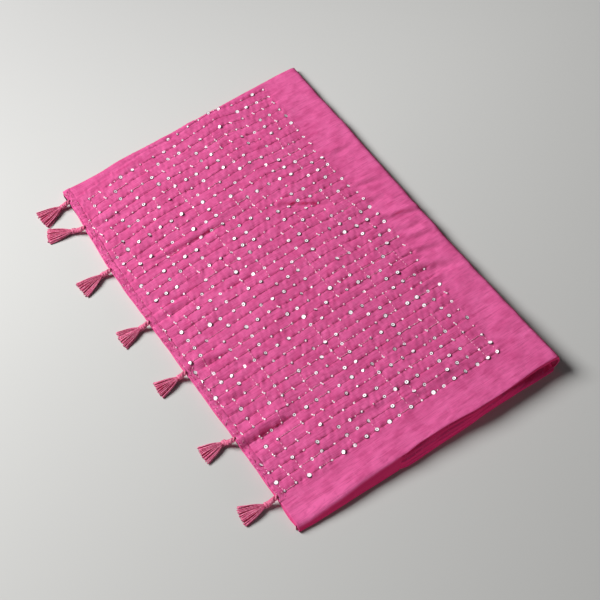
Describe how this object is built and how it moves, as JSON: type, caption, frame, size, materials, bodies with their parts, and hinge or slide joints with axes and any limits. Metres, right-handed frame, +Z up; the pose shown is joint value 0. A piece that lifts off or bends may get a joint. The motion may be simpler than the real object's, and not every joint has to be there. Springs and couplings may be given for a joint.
{
  "type": "folded dupatta stole",
  "caption": "Dupatta stole of hand-loom cloth folded flat into a rectangle, with a sequin grid, a stitched hem and tied tassels along one end.",
  "frame": {"origin": "middle of the bounding box, on the table it lies on", "axes": "+X from the selvedge side to the long fold, +Y from the tasselled hem to the cross fold, +Z up"},
  "size_m": [0.5116, 0.3844, 0.0241],
  "materials": {
    "cloth": "slubbed hand-loom cotton silk with a soft sheen",
    "hem": "the same cloth, turned and zigzag stitched",
    "tassel": "dusty pink twisted cotton yarn",
    "thread": "fine embroidery thread",
    "sequin": "silver-white foil sequins and small glass beads"
  },
  "bodies": {
    "root": {"stole_top_panel": "cloth", "folded_layers": "cloth", "end_hem": "hem", "tassel_1": "tassel", "tassel_2": "tassel", "tassel_3": "tassel", "tassel_4": "tassel", "tassel_5": "tassel", "tassel_6": "tassel", "tassel_7": "tassel"}
  },
  "joints": []
}
